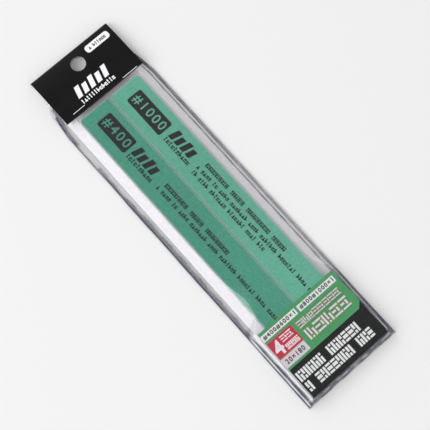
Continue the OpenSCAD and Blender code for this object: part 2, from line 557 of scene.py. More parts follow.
@dataclass(frozen=True)
class ClearFilm(Finish):
    """Clear thin film: almost all seen through and glossy, with bands of painted shade and painted highlight
    along its edges.
    """

    mirror: float = 0.012
    # Painted shade: the slate stands for dark refraction, dark reflections and shadow along the film's edges
    # and over the card's edge. Painted highlight: the white stands for glints along them.
    painted_shade_colour: Colour = (0.06, 0.067, 0.125)
    painted_highlight_colour: Colour = (0.95, 0.95, 0.97)

    def build(self, shade: Shade) -> bpy.types.Material:
        """Builds the clear sheet, its gloss and its bands of painted shade and painted highlight."""
        # How much painted shade and painted highlight each point of the film carries.
        dark = shade.attribute(Tone.DARK.value)
        light = shade.attribute(Tone.LIGHT.value)
        ripple = shade.noise(130.0, 3.0, (1.0, 0.35, 1.0))
        normal = shade.bump(ripple, 0.25 * MM, 0.25)
        clear = shade.node("ShaderNodeBsdfTransparent", None, {0: (1.0, 1.0, 1.0, 1.0)})
        gloss = shade.node(
            "ShaderNodeBsdfPrincipled",
            None,
            {"Base Color": (1.0, 1.0, 1.0, 1.0), "Metallic": 1.0, "Roughness": 0.09, "Normal": normal},
        )
        facing = shade.node("ShaderNodeFresnel", None, {"IOR": 1.5, "Normal": normal})
        share = self.mirror + 0.42 * Wire(shade, facing.outputs[0])
        sheet = shade.node(
            "ShaderNodeMixShader", None, {0: share, 1: clear.outputs[0], 2: gloss.outputs[0]}
        )
        # The painted bands' colour: slate where they are painted shade, white where they are painted
        # highlight.
        colour = shade.blend((light / (dark + light + 0.001)).clamped(), self.painted_shade_colour, self.painted_highlight_colour)
        # The bands of painted shade and painted highlight, a matte surface over the clear sheet.
        fold = shade.node(
            "ShaderNodeBsdfPrincipled",
            None,
            {"Base Color": colour, "Roughness": 0.3, "Normal": normal, "Specular IOR Level": 0.4},
        )
        # Where a band of painted shade or painted highlight lies, it covers the clear sheet.
        folded = shade.node(
            "ShaderNodeMixShader",
            None,
            {0: (dark + light).clamped(), 1: sheet.outputs[0], 2: fold.outputs[0]},
        )
        return shade.surface(folded.outputs[0])


@dataclass(frozen=True)
class MeltedBead(Finish):
    """Film melted into a bead: cloudy and glossy, its grey-blue colour painted shade that stands for the dark
    refraction along the bag's edges.
    """

    # Painted shade: the grey-blue stands for the dark refraction and shadow at the film's edges; the pale
    # clouds are the bead's own.
    colour: Colour = (0.23, 0.235, 0.31)
    pale: Colour = (0.62, 0.63, 0.70)

    def build(self, shade: Shade) -> bpy.types.Material:
        """Builds the cloudy bead."""
        cloud = shade.noise(90.0, 3.0, (1.0, 0.5, 1.0))
        body = shade.node(
            "ShaderNodeBsdfPrincipled",
            None,
            {
                "Base Color": shade.blend(cloud.above(0.52, 0.3), self.colour, self.pale),
                "Roughness": 0.2 + 0.2 * cloud,
                "Normal": shade.bump(cloud, 0.2 * MM, 0.5),
            },
        )
        clear = shade.node("ShaderNodeBsdfTransparent", None, {0: (0.9, 0.9, 0.94, 1.0)})
        mixed = shade.node(
            "ShaderNodeMixShader", None, {0: 0.5 + 0.3 * cloud, 1: clear.outputs[0], 2: body.outputs[0]}
        )
        return shade.surface(mixed.outputs[0])


@dataclass(frozen=True)
class StudioFloor(Finish):
    """Pale seamless paper."""

    colour: Colour

    def build(self, shade: Shade) -> bpy.types.Material:
        """Builds the plain paper."""
        shader = shade.node(
            "ShaderNodeBsdfPrincipled",
            None,
            {"Base Color": self.colour, "Roughness": 1.0, "Specular IOR Level": 0.0},
        )
        return shade.surface(shader.outputs[0])


# ---------------------------------------------------------------- mesh building


def link_mesh(name: str, mesh: bpy.types.Mesh, finish: Finish, smooth: bool = False) -> bpy.types.Object:
    """Puts a mesh in the scene as a piece.

    Args:
        name: The piece's name.
        mesh: Its mesh, already in place.
        finish: What it is made of.
        smooth: Whether its faces are shaded smooth.

    Returns:
        The piece.
    """
    piece = bpy.data.objects.new(name, mesh)
    bpy.context.scene.collection.objects.link(piece)
    mesh.materials.clear()
    mesh.materials.append(finish.material())
    mesh.polygons.foreach_set("use_smooth", [smooth] * len(mesh.polygons))
    mesh.polygons.foreach_set("material_index", [0] * len(mesh.polygons))
    return piece


def evaluated_mesh(piece: bpy.types.Object) -> bpy.types.Mesh:
    """A piece's shape with its modifiers, as a plain mesh."""
    bpy.context.view_layer.update()
    graph = bpy.context.evaluated_depsgraph_get()
    return bpy.data.meshes.new_from_object(piece.evaluated_get(graph), depsgraph=graph)


def bake_modifiers(piece: bpy.types.Object) -> bpy.types.Object:
    """Turns a piece's modifiers into its mesh and removes them."""
    mesh = evaluated_mesh(piece)
    old = piece.data
    piece.modifiers.clear()
    piece.data = mesh
    bpy.data.meshes.remove(old)
    return piece


def rounded_box(left: float, bottom: float, right: float, top: float, radius: float) -> Outline:
    """The outline of a rectangle with round corners, anticlockwise.

    Args:
        left: Its lowest X.
        bottom: Its lowest Y.
        right: Its highest X.
        top: Its highest Y.
        radius: The corners' radius.

    Returns:
        The outline's points.
    """
    if radius <= 0:
        return [(left, bottom), (right, bottom), (right, top), (left, top)]
    steps = 6
    centres = [
        (right - radius, bottom + radius, -90),
        (right - radius, top - radius, 0),
        (left + radius, top - radius, 90),
        (left + radius, bottom + radius, 180),
    ]
    points = []
    for cx, cy, start in centres:
        for i in range(steps + 1):
            angle = math.radians(start + 90 * i / steps)
            points.append((cx + radius * math.cos(angle), cy + radius * math.sin(angle)))
    return points


class GlyphRow:
    """A Geometry Nodes tree for a row of made-up marks that stands for a line of small print."""

    # Each mark is a few strokes in a cell one wide and one high: left, bottom, right, top
    OPEN_MARKS = (
        ((0.0, 0.0, 0.36, 0.76), (0.46, 0.0, 0.84, 0.32), (0.46, 0.44, 0.84, 0.76)),
        ((0.0, 0.0, 0.84, 0.32), (0.22, 0.32, 0.6, 0.76)),
        ((0.16, 0.0, 0.56, 0.38), (0.16, 0.48, 0.56, 1.0)),
        ((0.0, 0.42, 0.84, 0.76), (0.0, 0.0, 0.36, 0.34), (0.48, 0.0, 0.84, 0.34)),
        ((0.0, 0.0, 0.38, 1.0), (0.38, 0.2, 0.86, 0.54)),
    )
    DENSE_MARKS = (
        ((0.0, 0.82, 0.9, 1.0), (0.0, 0.42, 0.56, 0.6), (0.0, 0.0, 0.9, 0.18), (0.7, 0.3, 0.9, 0.7)),
        ((0.0, 0.0, 0.2, 1.0), (0.34, 0.3, 0.52, 1.0), (0.68, 0.0, 0.88, 0.7), (0.34, 0.0, 0.52, 0.16)),
        (
            (0.0, 0.0, 0.2, 0.9),
            (0.7, 0.3, 0.9, 0.9),
            (0.3, 0.72, 0.6, 0.9),
            (0.3, 0.3, 0.6, 0.5),
            (0.3, 0.0, 0.9, 0.16),
        ),
        ((0.0, 0.8, 0.88, 0.98), (0.0, 0.4, 0.4, 0.6), (0.54, 0.26, 0.74, 0.66), (0.0, 0.0, 0.88, 0.16)),
    )
    TALL_MARKS = (
        ((0.0, 0.0, 0.36, 1.0), (0.5, 0.0, 0.86, 0.62), (0.5, 0.76, 0.86, 1.0)),
        ((0.0, 0.0, 0.36, 0.3), (0.0, 0.44, 0.36, 1.0), (0.5, 0.0, 0.86, 1.0)),
        ((0.0, 0.0, 0.86, 0.22), (0.0, 0.34, 0.86, 0.66), (0.0, 0.78, 0.86, 1.0)),
        ((0.0, 0.0, 0.36, 1.0), (0.5, 0.0, 0.86, 0.44), (0.5, 0.58, 0.86, 1.0)),
    )

    def __init__(self, name: str, marks: Sequence[Sequence[tuple[float, float, float, float]]]) -> None:
        """Builds the tree.

        Args:
            name: The tree's name.
            marks: The marks that a row picks from, each a few strokes.
        """
        self.tree = bpy.data.node_groups.new(name, "GeometryNodeTree")
        self.inputs = {
            title: self.tree.interface.new_socket(title, in_out="INPUT", socket_type=kind).identifier
            for title, kind in (
                ("Row Length", "NodeSocketFloat"),
                ("Mark Pitch", "NodeSocketFloat"),
                ("Mark Height", "NodeSocketFloat"),
                ("Ink Thickness", "NodeSocketFloat"),
                ("Gap Share", "NodeSocketFloat"),
                ("Seed", "NodeSocketInt"),
                ("Ink", "NodeSocketMaterial"),
            )
        }
        self.tree.interface.new_socket("Geometry", in_out="OUTPUT", socket_type="NodeSocketGeometry")
        self._build(marks)

    def _node(self, kind: str, inputs: dict[str | int, object], **settings: object) -> bpy.types.Node:
        """Adds a node.

        Args:
            kind: The node's type.
            inputs: A value or a socket for each input.
            settings: What is set on the node itself.

        Returns:
            The node.
        """
        made = self.tree.nodes.new(kind)
        for key, value in settings.items():
            setattr(made, key, value)
        for key, value in inputs.items():
            if isinstance(value, bpy.types.NodeSocket):
                self.tree.links.new(value, made.inputs[key])
            else:
                made.inputs[key].default_value = value
        return made

    def _maths(self, operation: str, *values: bpy.types.NodeSocket | float) -> bpy.types.NodeSocket:
        """Adds a Math node and gives its result."""
        return self._node("ShaderNodeMath", dict(enumerate(values)), operation=operation).outputs[0]

    def _mark(self, strokes: Sequence[tuple[float, float, float, float]]) -> bpy.types.NodeSocket:
        """One mark, its strokes joined into an instance."""
        joined = self.tree.nodes.new("GeometryNodeJoinGeometry")
        for left, bottom, right, top in strokes:
            cube = self._node("GeometryNodeMeshCube", {"Size": (right - left, top - bottom, 1.0)})
            middle = ((left + right) / 2, (bottom + top) / 2, 0.5)
            moved = self._node("GeometryNodeTransform", {0: cube.outputs[0], "Translation": middle})
            self.tree.links.new(moved.outputs[0], joined.inputs[0])
        return self._node("GeometryNodeGeometryToInstance", {0: joined.outputs[0]}).outputs[0]

    def _build(self, marks: Sequence[Sequence[tuple[float, float, float, float]]]) -> None:
        """Builds the row: a line of points, gaps between words, a picked mark on each point."""
        given = self.tree.nodes.new("NodeGroupInput").outputs
        share = self._maths("DIVIDE", given["Row Length"], given["Mark Pitch"])
        count = self._maths("ADD", share, 0.5)
        step = self._node("ShaderNodeCombineXYZ", {0: given["Mark Pitch"]})
        line = self._node(
            "GeometryNodeMeshLine", {"Count": count, "Offset": step.outputs[0]}
        )
        index = self.tree.nodes.new("GeometryNodeInputIndex").outputs[0]
        start = self._maths("MULTIPLY", given["Seed"], 0.37)
        turn = self._maths("FRACT", self._maths("MULTIPLY_ADD", index, 0.618034, start))
        gap = self._maths("LESS_THAN", turn, given["Gap Share"])
        kept = self._node("GeometryNodeDeleteGeometry", {0: line.outputs[0], 1: gap}, domain="POINT")
        kinds = self.tree.nodes.new("GeometryNodeJoinGeometry")
        for strokes in marks:
            self.tree.links.new(self._mark(strokes), kinds.inputs[0])
        pick = self._node(
            "FunctionNodeRandomValue", {5: len(marks) - 1, "Seed": given["Seed"]}, data_type="INT"
        )
        size = self._node(
            "ShaderNodeCombineXYZ",
            {0: given["Mark Pitch"], 1: given["Mark Height"], 2: given["Ink Thickness"]},
        )
        placed = self._node(
            "GeometryNodeInstanceOnPoints",
            {
                "Points": kept.outputs[0],
                "Instance": kinds.outputs[0],
                "Pick Instance": True,
                "Instance Index": pick.outputs[2],
                "Scale": size.outputs[0],
            },
        )
        real = self._node("GeometryNodeRealizeInstances", {0: placed.outputs[0]})
        inked = self._node("GeometryNodeSetMaterial", {0: real.outputs[0], "Material": given["Ink"]})
        self._node("NodeGroupOutput", {0: inked.outputs[0]})

    def mesh(
        self, length: float, pitch: float, height: float, gap: float, seed: int, ink: Finish
    ) -> bpy.types.Mesh:
        """Runs the tree once.

        Args:
            length: How long the row is.
            pitch: From one mark to the next.
            height: How tall a mark is.
            gap: The share of places left empty.
            seed: Which row of all the possible ones.
            ink: What it is printed with.

        Returns:
            The row, starting at the origin and running along X.
        """
        holder = bpy.data.objects.new("row_holder", bpy.data.meshes.new("row_holder"))
        bpy.context.scene.collection.objects.link(holder)
        modifier = holder.modifiers.new("row", "NODES")
        modifier.node_group = self.tree
        values = {
            "Row Length": length,
            "Mark Pitch": pitch,
            "Mark Height": height,
            "Ink Thickness": INK_T,
            "Gap Share": gap,
            "Seed": seed,
            "Ink": ink.material(),
        }
        for title, value in values.items():
            modifier[self.inputs[title]] = value
        mesh = evaluated_mesh(holder)
        bpy.data.objects.remove(holder)
        return mesh


class PrintLayer:
    """One ink on one printed area: it gathers solids and text, then lays them on the surface.

    Places on the area are given in millimetres from its upper left corner: across, then down.
    """

    rows: dict[str, GlyphRow] = {}

    def __init__(self, name: str, corner: Vector, lift: float, ink: Finish) -> None:
        """Starts an empty layer.

        Args:
            name: The piece's name.
            corner: The area's upper left corner, on the surface.
            lift: How far over the surface the ink starts.
            ink: What it is printed with.
        """
        self.name = name
        self.corner = corner
        self.lift = lift
        self.ink = ink
        self.shape = bmesh.new()

    def solid(self, outline: Outline) -> None:
        """Adds a flat solid with that outline, in millimetres from the corner, X across and Y up."""
        made = bmesh.new()
        ring = [made.verts.new((x * MM, y * MM, 0.0)) for x, y in outline]
        face = made.faces.new(ring)
        if face.normal.z > 0 or sum(
            (a[0] * b[1] - b[0] * a[1]) for a, b in zip(outline, outline[1:] + outline[:1])
        ) > 0:
            face.normal_flip()
        lifted = bmesh.ops.extrude_face_region(made, geom=[face])
        points = [v for v in lifted["geom"] if isinstance(v, bmesh.types.BMVert)]
        bmesh.ops.translate(made, vec=(0.0, 0.0, INK_T), verts=points)
        bmesh.ops.recalc_face_normals(made, faces=made.faces)
        mesh = bpy.data.meshes.new("solid")
        made.to_mesh(mesh)
        made.free()
        self._take(mesh, Matrix.Identity(4))

    def box(self, left: float, top: float, right: float, bottom: float, radius: float = 0.0) -> None:
        """Adds a solid box of ink.

        Args:
            left: Its left edge, in millimetres across.
            top: Its upper edge, in millimetres down.
            right: Its right edge.
            bottom: Its lower edge.
            radius: Its corners' radius.
        """
        self.solid(rounded_box(left, -bottom, right, -top, radius))

    def bars(self, left: float, top: float, count: int, pitch: float, width: float, height: float,
             slant: float, reading: Reading) -> None:
        """Adds a plain mark of slanted bars, each shorter than the last.

        Args:
            left: Where the mark starts, across.
            top: Where it starts, down.
            count: How many bars.
            pitch: From one bar to the next.
            width: One bar's width.
            height: The first bar's height.
            slant: How far a bar leans over its height.
            reading: Which way the mark runs.
        """
        turn = Matrix.Rotation(reading.value, 2)
        for i in range(count):
            tall = height * (1 - 0.16 * (i % 2))
            lean = slant * tall / height
            base = i * pitch
            corners = [(base, 0.0), (base + width, 0.0), (base + width + lean, tall), (base + lean, tall)]
            points = [turn @ Vector(c) for c in corners]
            self.solid([(left + p.x, p.y - top) for p in points])

    def text(self, words: str, left: float, top: float, width: float, height: float,
             reading: Reading = Reading.ACROSS, weight: float = 0.02) -> None:
        """Adds numerals, stretched to fill a box that starts at a place and runs in a direction.

        Args:
            words: The numerals.
            left: Where their lower left corner is, across.
            top: Where it is, down.
            width: How long they are along the reading direction.
            height: How tall they are.
            reading: Which way they run.
            weight: How much the strokes are thickened.
        """
        curve = bpy.data.curves.new("numerals", "FONT")
        curve.body = words
        curve.offset = weight
        curve.space_character = 1.26
        curve.resolution_u = 4
        curve.extrude = 0.5
        holder = bpy.data.objects.new("numerals", curve)
        bpy.context.scene.collection.objects.link(holder)
        mesh = evaluated_mesh(holder)
        bpy.data.objects.remove(holder)
        points = np.array([v.co for v in mesh.vertices])
        low, high = points.min(0), points.max(0)
        scale = Matrix.Diagonal(
            (width * MM / (high[0] - low[0]), height * MM / (high[1] - low[1]), INK_T, 1.0)
        )
        start = Matrix.Translation((-low[0], -low[1], 0.5))
        self._take(mesh, self._at(left, top, reading) @ scale @ start)

    def row(self, style: str, left: float, top: float, length: float, height: float, pitch: float,
            gap: float, seed: int, reading: Reading = Reading.ACROSS) -> None:
        """Adds a row of made-up marks.

        Args:
            style: "open", "dense" or "tall" marks.
            left: Where the row's lower left corner is, across.
            top: Where it is, down.
            length: How long the row is.
            height: How tall a mark is.
            pitch: From one mark to the next.
            gap: The share of places left empty.
            seed: Which row.
            reading: Which way it runs.
        """
        marks = {
            "open": GlyphRow.OPEN_MARKS,
            "dense": GlyphRow.DENSE_MARKS,
            "tall": GlyphRow.TALL_MARKS,
        }
        if style not in self.rows:
            self.rows[style] = GlyphRow(f"{style}_marks", marks[style])
        mesh = self.rows[style].mesh(length * MM, pitch * MM, height * MM, gap, seed, self.ink)
        self._take(mesh, self._at(left, top, reading))

    @staticmethod
    def _at(left: float, top: float, reading: Reading) -> Matrix:
        """The placing of something that starts at a place on the area."""
        return Matrix.Translation((left * MM, -top * MM, 0.0)) @ Matrix.Rotation(reading.value, 4, "Z")

    def _take(self, mesh: bpy.types.Mesh, placing: Matrix) -> None:
        """Adds a mesh to the layer.

        Args:
            mesh: The mesh, which is used up.
            placing: Where it goes on the area.
        """
        mesh.transform(placing)
        self.shape.from_mesh(mesh)
        bpy.data.meshes.remove(mesh)

    def lay(self, body: str, surface: Callable[[float, float], float] | None = None) -> bpy.types.Object:
        """Lays the ink on its surface and makes it ride on a body.

        Args:
            body: The CAD body that carries the surface.
            surface: The surface's height at a place, where it isn't flat.

        Returns:
            The piece.
        """
        if surface is not None:
            low = min(v.co.y for v in self.shape.verts)
            high = max(v.co.y for v in self.shape.verts)
            cuts = int((high - low) / (1.2 * MM))
            for i in range(1, cuts + 1):
                every = self.shape.verts[:] + self.shape.edges[:] + self.shape.faces[:]
                level = low + (high - low) * i / (cuts + 1)
                bmesh.ops.bisect_plane(
                    self.shape, geom=every, plane_co=(0.0, level, 0.0), plane_no=(0.0, 1.0, 0.0)
                )
        for vertex in self.shape.verts:
            vertex.co += self.corner + Vector((0.0, 0.0, self.lift))
            if surface is not None:
                vertex.co.z += surface(vertex.co.x, vertex.co.y) - self.corner.z
        mesh = bpy.data.meshes.new(self.name)
        self.shape.to_mesh(mesh)
        self.shape.free()
        piece = link_mesh(self.name, mesh, self.ink)
        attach(piece, body)
        log.info("printed %s on %s: %d faces", self.name, body, len(mesh.polygons))
        return piece


# ---------------------------------------------------------------- the object


@dataclass
class SandingStick:
    """One double-sided sanding stick: its laminate's finishes and what is printed on its front."""

    grit: Grit
    colour: Colour
    badge_words: str
    badge: tuple[float, float, float, float]
    mark_start: tuple[float, float]
    rows: tuple[tuple[str, float, float, float, float, float], ...]
    grains_per_m: float
    grain_height: float
    edge_colour: Colour = (0.42, 0.52, 0.50)
    ink: Ink = Ink("stick_ink", (0.012, 0.009, 0.013), 0.07)

    def node(self, layer: str) -> bpy.types.Object:
        """The CAD node of one of the stick's layers."""
        return frame["nodes"][f"{self.grit.value}_{layer}"]

    def dress(self, layer: str, finish: Finish) -> None:
        """Gives a layer its finish."""
        self.node(layer).data.materials.clear()
        self.node(layer).data.materials.append(finish.material())
        log.info("dressed %s_%s with %s", self.grit.value, layer, finish.name)

    def build(self) -> None:
        """Dresses the laminate and prints its front."""
        name = self.grit.value
        low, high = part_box(f"{name}_front_abrasive")
        paper = AbrasivePaper(
            f"{name}_abrasive",
            self.colour,
            self.edge_colour,
            low,
            high,
            self.grains_per_m,
            self.grain_height,
        )
        foam = ClosedCellFoam("stick_foam", (0.62, 0.64, 0.64))
        strip = RolledStrip("white_strip", (0.82, 0.82, 0.80), 0.3)
        glue = RolledStrip("stick_adhesive", (0.76, 0.74, 0.66), 0.35, 0.2)
        self.dress("core", strip)
        for face in ("front", "back"):
            self.dress(f"{face}_foam", foam)
            self.dress(f"core_{face}_adhesive", glue)
            self.dress(f"{face}_adhesive", glue)
            self.dress(f"{face}_abrasive", paper)
        self.print_front(Vector((low.x, high.y, high.z)), paper)

    def print_front(self, corner: Vector, paper: Finish) -> None:
        """Prints the badge, the plain mark and the lines of small print.

        Args:
            corner: The front's upper left corner.
            paper: The abrasive's finish, which shows through the badge's numerals.
        """
        body = f"{self.grit.value}_stick"
        layer = PrintLayer(f"{self.grit.value}_print", corner, INK_LIFT, self.ink)
        left, top, right, bottom = self.badge
        layer.box(left, top, right, bottom, 1.2)
        across, down = self.mark_start
        layer.bars(across + 3.0, down + 0.2, 4, 4.4, 3.1, 6.4, 1.7, Reading.DOWN)
        layer.row("open", across - 0.2, down, 19.4, 2.7, 1.94, 0.0, 7, Reading.DOWN)
        for seed, (style, row_across, row_down, length, height, pitch) in enumerate(self.rows):
            layer.row(style, row_across, row_down, length, height, pitch, 0.16, 11 + seed, Reading.DOWN)
        layer.lay(body)
        numerals = PrintLayer(f"{self.grit.value}_numerals", corner, 2 * INK_LIFT + INK_T, paper)
        margin = 1.35
        numerals.text(
            self.badge_words,
            left + 1.8,
            top + margin,
            bottom - top - 2 * margin,
            right - left - 3.6,
            Reading.DOWN,
            0.01,
        )
        numerals.lay(body)


@dataclass
class InsertCard:
    """The card behind the sticks, whose lower end is folded up over them as the label."""

    label_h: float = 42.0 * MM
    green_h: float = 23.9 * MM
    sleeve_room: float = 4.3 * MM
    white_ink: Ink = Ink("label_white", (0.95, 0.95, 0.96), 0.03)
    dark_ink: Ink = Ink("label_dark", (0.035, 0.035, 0.04), 0.1)
    red_ink: Ink = Ink("label_red", (0.70, 0.018, 0.075), 0.05)
    pink_ink: Ink = Ink("label_pink", (0.86, 0.77, 0.84), 0.04)
    olive_ink: Ink = Ink("label_olive", (0.33, 0.42, 0.04), 0.08)

    def build(self) -> None:
        """Dresses the card and prints the label."""
        low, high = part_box("insert_card")
        label_top = low.y + self.label_h
        boundary = label_top - self.green_h
        finish = PrintedCard("printed_card", low, high, label_top, boundary, high.z - self.sleeve_room)
        card = frame["nodes"]["insert_card"]
        card.data.materials.clear()
        card.data.materials.append(finish.material())
        corner = Vector((low.x, label_top, high.z))
        white = PrintLayer("label_white_print", corner, INK_LIFT, self.white_ink)
        white.box(0.3, 1.8, 23.1, 5.4, 0.3)
        white.box(24.5, 2.0, 49.0, 5.6, 0.3)
        white.lay("card")
        self._fields(corner)
        self._rows(corner)
        self._numerals(corner)

    def _fields(self, corner: Vector) -> None:
        """Prints the red box and the pale strip under it."""
        red = PrintLayer("label_red_print", corner, INK_LIFT, self.red_ink)
        red.box(0.4, 6.8, 16.2, 16.9, 0.4)
        red.lay("card")
        pink = PrintLayer("label_pale_print", corner, INK_LIFT, self.pink_ink)
        pink.box(0.3, 17.2, 15.9, 22.6, 0.3)
        pink.lay("card")

    def _rows(self, corner: Vector) -> None:
        """Prints the rows of made-up marks, with an olive shadow on the green."""
        shadow = PrintLayer("label_shadow_print", corner, INK_LIFT, self.olive_ink)
        front = PrintLayer("label_marks_print", corner, 2 * INK_LIFT + INK_T, self.white_ink)
        for style, left, top, length, height, pitch, seed in (
            ("dense", 18.6, 11.8, 28.2, 3.7, 3.55, 3),
            ("dense", 19.0, 19.6, 28.4, 6.0, 5.7, 5),
        ):
            for dx, dy in ((0.35, -0.35), (-0.35, 0.35), (0.35, 0.35), (-0.35, -0.35)):
                shadow.row(style, left + dx, top + dy, length, height, pitch, 0.0, seed)
            front.row(style, left, top, length, height, pitch, 0.0, seed)
        front.row("tall", 1.1, 32.4, 40.8, 5.5, 3.4, 0.09, 8)
        front.row("tall", 1.5, 39.0, 44.2, 5.4, 3.4, 0.08, 12)
        shadow.lay("card")
        front.lay("card")

    def _numerals(self, corner: Vector) -> None:
        """Prints the grit numbers, the thickness and the size."""
        dark = PrintLayer("label_dark_numerals", corner, 2 * INK_LIFT + INK_T, self.dark_ink)
        dark.text("#400#600×1", 1.2, 4.9, 20.9, 2.6, weight=0.03)
        dark.text("#800#1000×1", 25.6, 5.1, 22.4, 2.6, weight=0.03)
        dark.text("20×180", 1.9, 21.3, 12.2, 2.8, weight=0.03)
        dark.lay("card")
        white = PrintLayer("label_white_numerals", corner, 2 * INK_LIFT + INK_T, self.white_ink)
        white.text("4", 1.3, 15.9, 5.2, 8.0, weight=0.03)
        white.row("dense", 7.4, 11.3, 7.8, 3.4, 3.8, 0.0, 2)
        white.row("tall", 7.2, 15.9, 8.4, 3.2, 2.1, 0.0, 4)
        white.lay("card")


@dataclass
class HeaderCard:
    """The folded black card that closes the bag, with its hang hole."""

    flat_tilt: float = math.radians(2.0)
    fold_tilt: float = math.radians(10.0)
    flat_share: float = 0.62
    fold_r: float = 2.0 * MM
    card_t: float = 0.35 * MM
    edge_bow: float = 0.3 * MM
    hole_r: float = 4.2 * MM
    hole_slip: Vector = field(default_factory=lambda: Vector((0.5 * MM, 1.2 * MM, 0.0)))
    white_ink: Ink = Ink("header_white", (0.95, 0.94, 0.96), 0.03)
    dark_ink: Ink = Ink("header_dark", (0.012, 0.011, 0.012))

    def __post_init__(self) -> None:
        """Reads the header's place from the frame."""
        self.low, self.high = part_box("header_card")
        self.fold = Vector((0.0, self.high.y - self.fold_r, self.low.z + self.fold_r))
        self.flat_y = self.low.y + self.flat_share * (self.high.y - self.low.y)
        self.flat_z = self.high.z - (self.flat_y - self.low.y) * math.tan(self.flat_tilt)
        lean = Vector((0.0, math.sin(self.fold_tilt), math.cos(self.fold_tilt)))
        self.join = self.fold + self.fold_r * lean

    def front_z(self, _x: float, y: float) -> float:
        """The height of the front panel's outer face.

        Args:
            _x: The place across, which makes no difference.
            y: The place along the pack.

        Returns:
            The height.
        """
        if y <= self.flat_y:
            return self.high.z - (y - self.low.y) * math.tan(self.flat_tilt)
        run = self.join.y - self.flat_y
        t = min(1.0, (y - self.flat_y) / run)
        start, end = -math.tan(self.flat_tilt) * run, -math.tan(self.fold_tilt) * run
        return (
            (2 * t**3 - 3 * t**2 + 1) * self.flat_z
            + (t**3 - 2 * t**2 + t) * start
            + (3 * t**2 - 2 * t**3) * self.join.z
            + (t**3 - t**2) * end
        )

    def profile(self) -> list[Vector]:
        """The outer face from the back's lower edge, round the fold, to the front's lower edge."""
        back = [Vector((0, y, self.low.z)) for y in np.linspace(self.low.y, self.fold.y, 24)]
        turns = np.linspace(-math.pi / 2, math.pi / 2 - self.fold_tilt, 18)[1:]
        bend = [self.fold + self.fold_r * Vector((0, math.cos(a), math.sin(a))) for a in turns]
        front = [Vector((0, y, self.front_z(0, y))) for y in np.linspace(self.join.y, self.low.y, 40)[1:]]
        return back + bend + front

    def build(self) -> None:
        """Builds the folded card, cuts its hang hole and prints its front."""
        outer = self.profile()
        inner = []
        for i, point in enumerate(outer):
            along = outer[min(i + 1, len(outer) - 1)] - outer[max(i - 1, 0)]
            inward = Vector((0, -along.z, along.y)).normalized()
            inner.append(point + inward * self.card_t)
        shape = bmesh.new()
        columns = 28
        rings = []
        for c in range(columns + 1):
            x = self.low.x + (self.high.x - self.low.x) * c / columns
            bow = self.edge_bow * (1 - (2 * c / columns - 1) ** 2)
            ring = []
            for point in outer + inner[::-1]:
                drop = 0.0
                if point.z > self.fold.z:
                    drop = max(0.0, (self.flat_y - point.y) / (self.flat_y - self.low.y))
                ring.append(shape.verts.new((x, point.y - bow * drop * 0.999, point.z)))
            rings.append(ring)
        count = len(rings[0])
        for a, b in zip(rings, rings[1:]):
            for i in range(count):
                j = (i + 1) % count
                shape.faces.new((a[i], a[j], b[j], b[i]))
        half = len(outer)
        for ring, flip in ((rings[0], False), (rings[-1], True)):
            for i in range(half - 1):
                quad = [ring[i], ring[i + 1], ring[count - 2 - i], ring[count - 1 - i]]
                shape.faces.new(quad[::-1] if not flip else quad)
        bmesh.ops.recalc_face_normals(shape, faces=shape.faces)
        mesh = bpy.data.meshes.new("header")
        shape.to_mesh(mesh)
        shape.free()
        finish = LaminatedCard("laminated_card", self.low, self.high)
        header = link_mesh("header", mesh, finish, smooth=False)
        self._cut_holes(header)
        self._mark_inside(header)
        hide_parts("header_card")
        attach(header, "header")
        log.info("built header: %d faces", len(header.data.polygons))
        self._print()

    def _cut_holes(self, header: bpy.types.Object) -> None:
        """Cuts the hole through each panel; the back's hole sits a little nearer the fold."""
        pin = next(m for m in frame["record"]["mounts"] if m["name"] == "hang_hole")
        centre = Vector(pin["pos_m"])
        level = self.fold.z
        for shift, low, high in (
            (Vector((0, 0, 0)), level, self.high.z + MM),
            (self.hole_slip, self.low.z - MM, level - 0.4 * MM),
        ):
            cutter_shape = bmesh.new()
            middle = Matrix.Translation(Vector((centre.x, centre.y, (low + high) / 2)) + shift)
            bmesh.ops.create_cone(
                cutter_shape, cap_ends=True, segments=64, radius1=self.hole_r, radius2=self.hole_r,
                depth=high - low, matrix=middle,
            )
            mesh = bpy.data.meshes.new("cutter")
            cutter_shape.to_mesh(mesh)
            cutter_shape.free()
            cutter = bpy.data.objects.new("cutter", mesh)
            bpy.context.scene.collection.objects.link(cutter)
            cut = header.modifiers.new("hole", "BOOLEAN")
            cut.object = cutter
            cut.operation = "DIFFERENCE"
            cut.solver = "EXACT"
            bake_modifiers(header)
            bpy.data.objects.remove(cutter)

    def _mark_inside(self, header: bpy.types.Object) -> None:
        """Marks the faces that look into the fold, which are bare board."""
        mesh = header.data
        mark = mesh.attributes.new("inside", "FLOAT", "FACE")
        values = []
        for face in mesh.polygons:
            c, n = face.center, face.normal
            back_inner = c.z < self.low.z + self.card_t * 1.3 and n.z > 0.5 and c.y < self.fold.y
            front_inner = n.z < -0.5 and c.z > self.fold.z
            bend_inner = c.y >= self.fold.y and (c - self.fold).yz.length < self.fold_r - 0.6 * self.card_t
            values.append(1.0 if back_inner or front_inner or bend_inner else 0.0)
        mark.data.foreach_set("value", values)

    def _print(self) -> None:
        """Prints the white pill, the plain mark and the two thin lines."""
        corner = Vector((self.low.x, self.high.y, self.high.z))
        white = PrintLayer("header_print", corner, INK_LIFT, self.white_ink)
        white.box(33.8, 3.6, 49.3, 8.1, 1.6)
        white.bars(13.7, 24.4, 5, 4.45, 2.9, 6.7, 1.9, Reading.ACROSS)
        white.row("open", 13.7, 28.2, 22.4, 2.5, 1.72, 0.0, 21)
        white.box(6.0, 28.8, 13.8, 29.1)
        white.box(38.6, 30.55, 48.3, 30.85)
        white.lay("header", self.front_z)
        dark = PrintLayer("header_pill_print", corner, 2 * INK_LIFT + INK_T, self.dark_ink)
        dark.row("open", 35.9, 6.8, 11.4, 2.1, 1.42, 0.12, 31)
        dark.lay("header", self.front_z)


